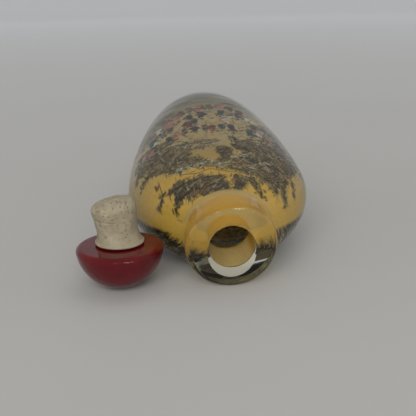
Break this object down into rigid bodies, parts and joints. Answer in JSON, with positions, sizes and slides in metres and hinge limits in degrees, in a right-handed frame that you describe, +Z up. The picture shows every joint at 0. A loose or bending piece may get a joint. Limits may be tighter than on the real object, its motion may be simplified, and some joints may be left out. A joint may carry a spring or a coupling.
{
  "type": "snuff bottle",
  "caption": "Flattened oval clear glass snuff bottle with a painted inner wall, lying on its side beside its domed red stopper with a cork plug.",
  "frame": {"origin": "middle of the underside of the bounding box of the bottle and its stopper, on the table", "axes": "+Z is up; the bottle lies along Y, with its neck towards -Y and its foot towards +Y; the stopper is on the -X side of the neck"},
  "size_m": [0.0556, 0.0806, 0.0345],
  "materials": {
    "clear_glass": "polished",
    "red_glass": "polished",
    "cork": "raw, finely pitted"
  },
  "bodies": {
    "root": {"bottle": "clear_glass", "stopper_cap": "red_glass", "stopper_cork": "cork"}
  },
  "joints": []
}
